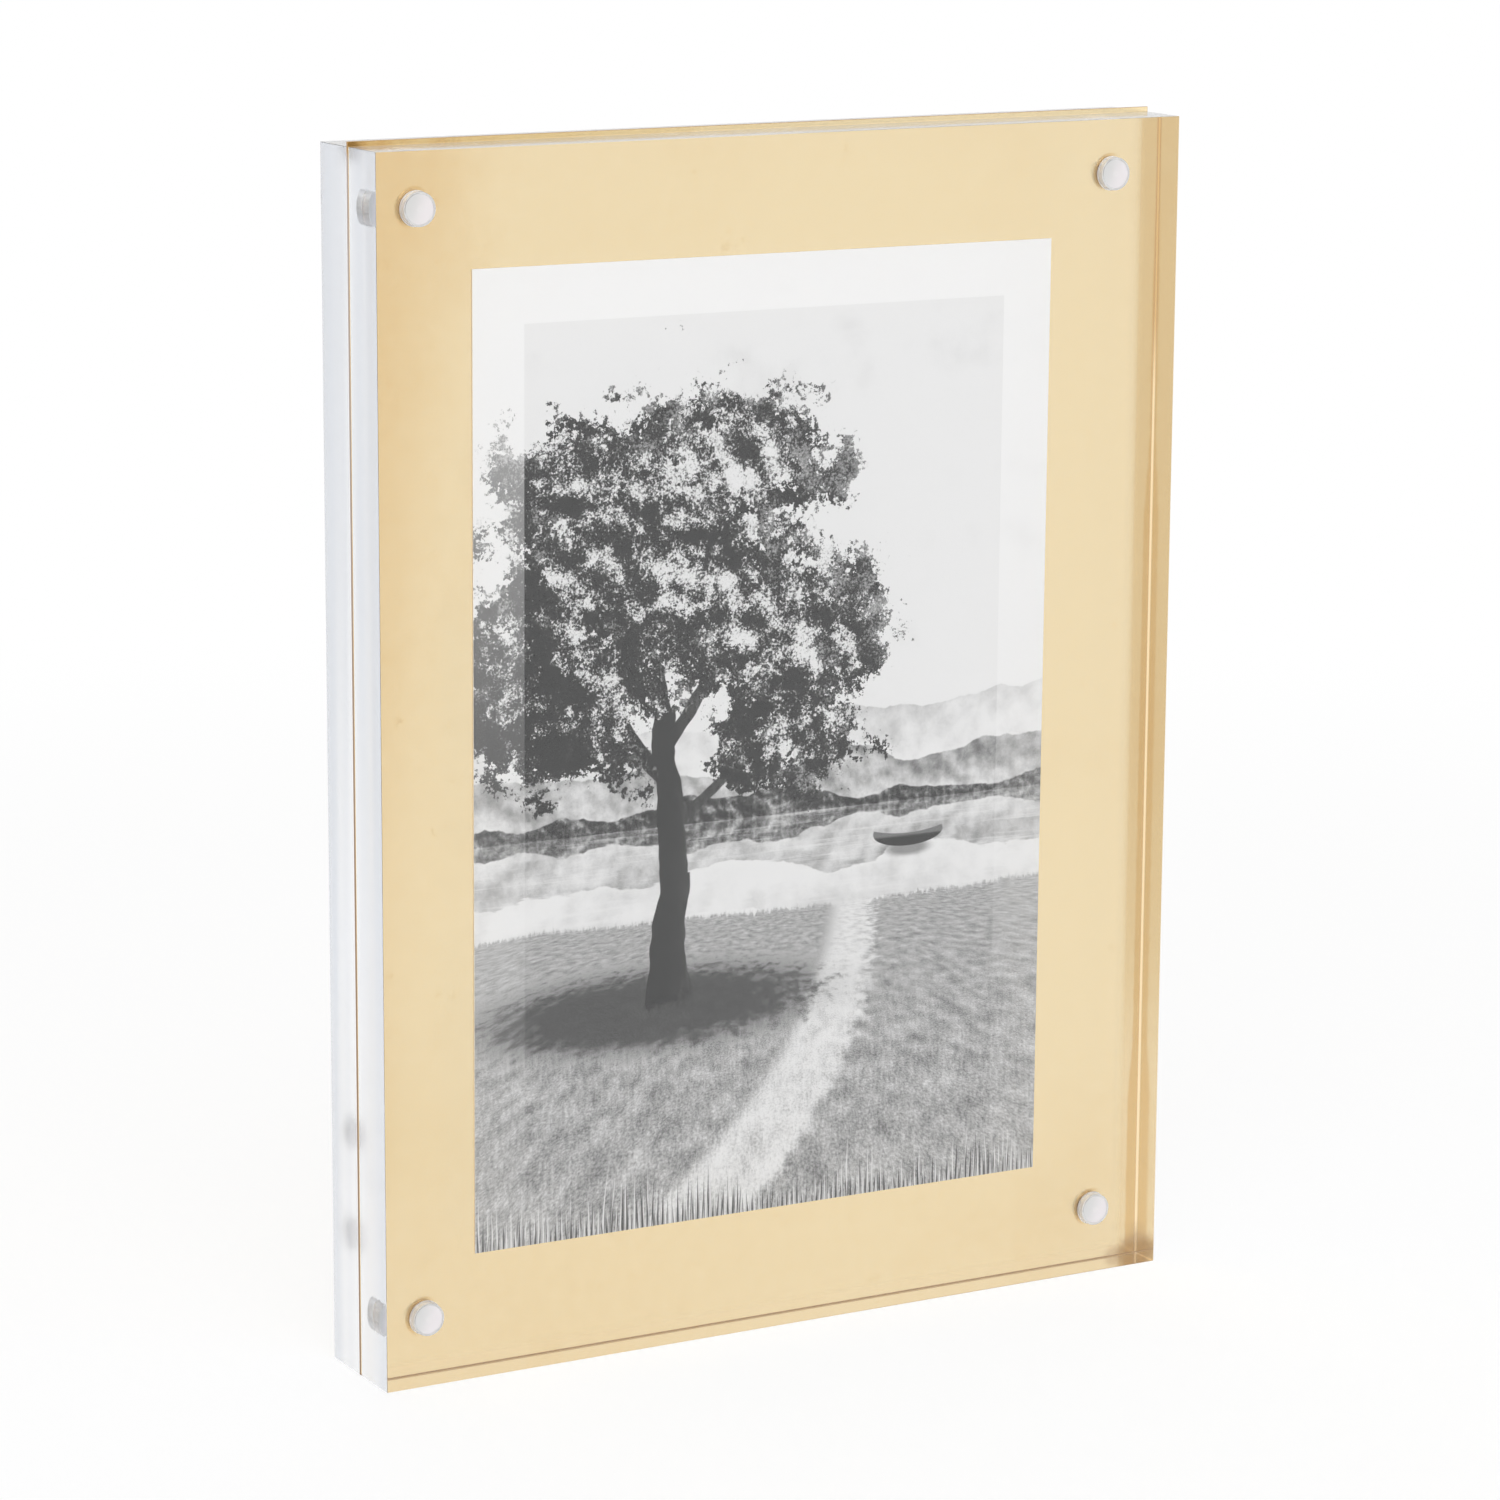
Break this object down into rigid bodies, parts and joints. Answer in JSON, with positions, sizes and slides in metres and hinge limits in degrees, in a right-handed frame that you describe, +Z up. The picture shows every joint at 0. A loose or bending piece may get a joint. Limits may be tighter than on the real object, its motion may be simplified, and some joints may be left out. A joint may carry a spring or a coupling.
{
  "type": "magnetic picture frame",
  "caption": "Free-standing picture frame of clear acrylic blocks that close by magnets on a brass sheet and a loose print.",
  "frame": {"origin": "on the surface that the frame stands on, under the middle of its width and of its depth", "axes": "+Z up, -Y towards the viewer of the print, +X to the viewer's right"},
  "size_m": [0.1403, 0.0194, 0.1898],
  "materials": {
    "acrylic": "clear cast acrylic, polished on every face and edge",
    "brass": "thin satin brass sheet with faint cloudy tarnish, darker along its sheared edges",
    "paper": "satin photographic paper with a grey-scale print",
    "nickel": "satin nickel plating on a rare-earth disc magnet"
  },
  "bodies": {
    "back": {"back_block": "acrylic", "magnet_back_top_left": "nickel", "magnet_back_top_right": "nickel", "magnet_back_bottom_left": "nickel", "magnet_back_bottom_right": "nickel"},
    "brass": {"brass_sheet": "brass"},
    "print": {"photo_print": "paper"},
    "front": {"front_block": "acrylic", "magnet_front_top_left": "nickel", "magnet_front_top_right": "nickel", "magnet_front_bottom_left": "nickel", "magnet_front_bottom_right": "nickel"}
  },
  "joints": [
    {"name": "brass_lift", "type": "slide", "parent": "back", "child": "brass", "axis": [0, -1, 0], "range_m": [0, 0.03]},
    {"name": "print_lift", "type": "slide", "parent": "brass", "child": "print", "axis": [0, -1, 0], "range_m": [0, 0.03]},
    {"name": "front_pull", "type": "slide", "parent": "print", "child": "front", "axis": [0, -1, 0], "range_m": [0, 0.06]}
  ]
}
